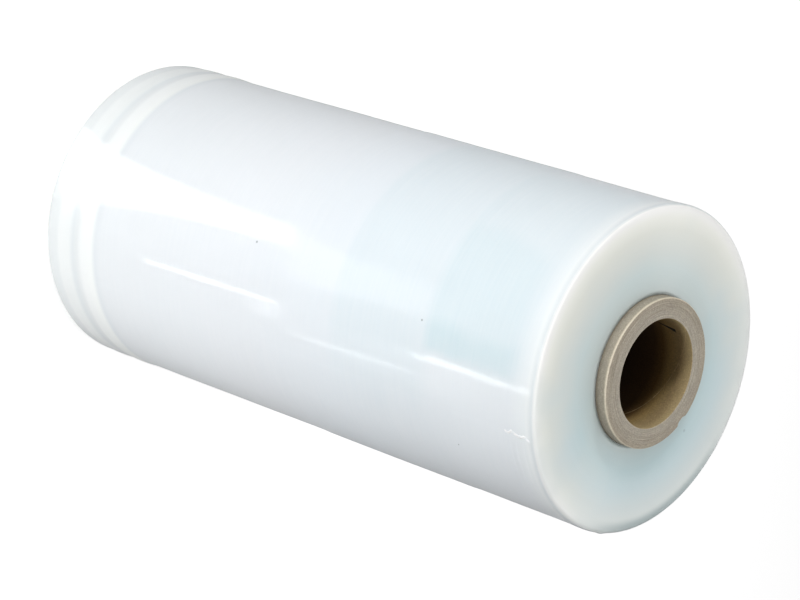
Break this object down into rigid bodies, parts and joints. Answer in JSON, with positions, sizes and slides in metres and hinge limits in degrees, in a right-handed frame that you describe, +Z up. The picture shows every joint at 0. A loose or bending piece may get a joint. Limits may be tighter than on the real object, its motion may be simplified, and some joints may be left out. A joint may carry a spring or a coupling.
{
  "type": "roll of shrink film",
  "caption": "Wide roll of clear plastic wrapping film wound on a thick paperboard core, whose open tube ends stand a little out of the film, standing on its end.",
  "frame": {"origin": "centre of the core's lower cut end, on the winding axis, where the roll stands", "axes": "+Z up the winding axis; -Y towards the middle of the side that the picture shows"},
  "size_m": [0.2298, 0.2298, 0.5076],
  "materials": {
    "paperboard": "matt grey-brown paperboard, wound in plies",
    "clear_film": "glossy clear film, milky white with a blue-green tint where it is wound thick"
  },
  "bodies": {
    "root": {"core_tube": "paperboard", "film_roll": "clear_film"}
  },
  "joints": []
}
